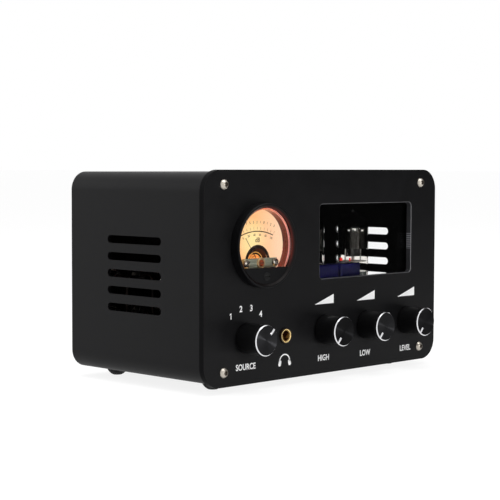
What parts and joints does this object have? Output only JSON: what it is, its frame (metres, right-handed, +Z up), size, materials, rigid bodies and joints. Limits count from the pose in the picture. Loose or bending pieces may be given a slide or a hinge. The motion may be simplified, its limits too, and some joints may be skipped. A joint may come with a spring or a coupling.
{
  "type": "tube preamplifier",
  "caption": "Black desktop stereo preamplifier with a lit round level meter, a window onto miniature tubes, turned knobs, a headphone jack and slotted sides.",
  "frame": {"origin": "bottom centre of the bounding box, on the surface that the feet stand on", "axes": "+X to the right seen from the front, -Y out of the front panel, +Z up"},
  "size_m": [0.2, 0.1386, 0.121],
  "materials": {
    "panel_black": "satin",
    "case_black": "satin",
    "screw_steel": "polished",
    "rubber": "matte",
    "clear": "polished",
    "black_plastic": "satin",
    "dial": "matte",
    "movement": "satin",
    "needle": "matte",
    "lamp": "gloss",
    "knob": "anodised, turned",
    "shaft": "satin",
    "control_body": "satin",
    "gold": "polished",
    "brass": "satin",
    "plate": "matte",
    "cage": "matte",
    "ceramic": "gloss",
    "board": "satin",
    "film": "gloss",
    "can": "gloss",
    "wire": "gloss",
    "white_plastic": "satin"
  },
  "bodies": {
    "chassis": {"front_panel": "panel_black", "case_shell": "case_black", "rear_panel": "case_black", "front_screws": "screw_steel", "rear_screws": "screw_steel", "feet": "rubber", "window_pane": "clear", "window_gasket": "rubber", "meter_rim": "black_plastic", "meter_case": "black_plastic", "meter_lens": "clear", "meter_dial": "dial", "meter_magnet": "movement", "meter_bridge": "movement", "meter_lamps": "lamp", "meter_clamp_ring": "black_plastic", "input_switch": "control_body", "treble_pot": "control_body", "bass_pot": "control_body", "volume_pot": "control_body", "control_nuts": "screw_steel", "jack_body": "black_plastic", "jack_bushing": "gold", "jack_contacts": "gold", "tube_left_glass": "clear", "tube_left_stem": "clear", "tube_left_plate": "plate", "tube_left_cage": "cage", "tube_right_glass": "clear", "tube_right_stem": "clear", "tube_right_plate": "plate", "tube_right_cage": "cage", "tube_sockets": "ceramic", "tube_board": "board", "main_board": "board", "board_standoffs": "brass", "board_screws": "screw_steel", "film_capacitors": "film", "electrolytic_capacitors": "can", "board_header": "black_plastic", "signal_chips": "black_plastic", "internal_wires": "wire", "rca_shells": "gold", "rca_rings": "white_plastic", "rca_cores": "white_plastic", "rca_nuts": "brass", "dc_inlet": "black_plastic", "dc_pin": "screw_steel", "power_housing": "black_plastic"},
    "input_control": {"input_shaft": "shaft", "input_knob": "knob"},
    "treble_control": {"treble_shaft": "shaft", "treble_knob": "knob"},
    "bass_control": {"bass_shaft": "shaft", "bass_knob": "knob"},
    "volume_control": {"volume_shaft": "shaft", "volume_knob": "knob"},
    "needle": {"meter_needle": "needle"},
    "zero_adjuster": {"meter_zero_screw": "black_plastic"},
    "rocker": {"power_rocker": "black_plastic"}
  },
  "joints": [
    {"name": "input_turn", "type": "hinge", "parent": "chassis", "child": "input_control", "pos_m": [-0.0681, -0.05325, 0.029], "axis": [0, -1, 0], "range_deg": [0, 90]},
    {"name": "treble_turn", "type": "hinge", "parent": "chassis", "child": "treble_control", "pos_m": [-0.0042, -0.05325, 0.029], "axis": [0, 1, 0], "range_deg": [0, 280]},
    {"name": "bass_turn", "type": "hinge", "parent": "chassis", "child": "bass_control", "pos_m": [0.0331, -0.05325, 0.029], "axis": [0, 1, 0], "range_deg": [0, 280]},
    {"name": "volume_turn", "type": "hinge", "parent": "chassis", "child": "volume_control", "pos_m": [0.0712, -0.05325, 0.029], "axis": [0, 1, 0], "range_deg": [0, 280]},
    {"name": "needle_swing", "type": "hinge", "parent": "chassis", "child": "needle", "pos_m": [-0.0567, -0.05325, 0.0704], "axis": [0, 1, 0], "range_deg": [0, 72], "stiffness_Nm_per_rad": 0.00002},
    {"name": "zero_turn", "type": "hinge", "parent": "chassis", "child": "zero_adjuster", "pos_m": [-0.0567, -0.05325, 0.0625], "axis": [0, 1, 0], "continuous": true},
    {"name": "rocker_tilt", "type": "hinge", "parent": "chassis", "child": "rocker", "pos_m": [0.072, 0.05875, 0.0465], "axis": [-1, 0, 0], "range_deg": [0, 18]}
  ]
}
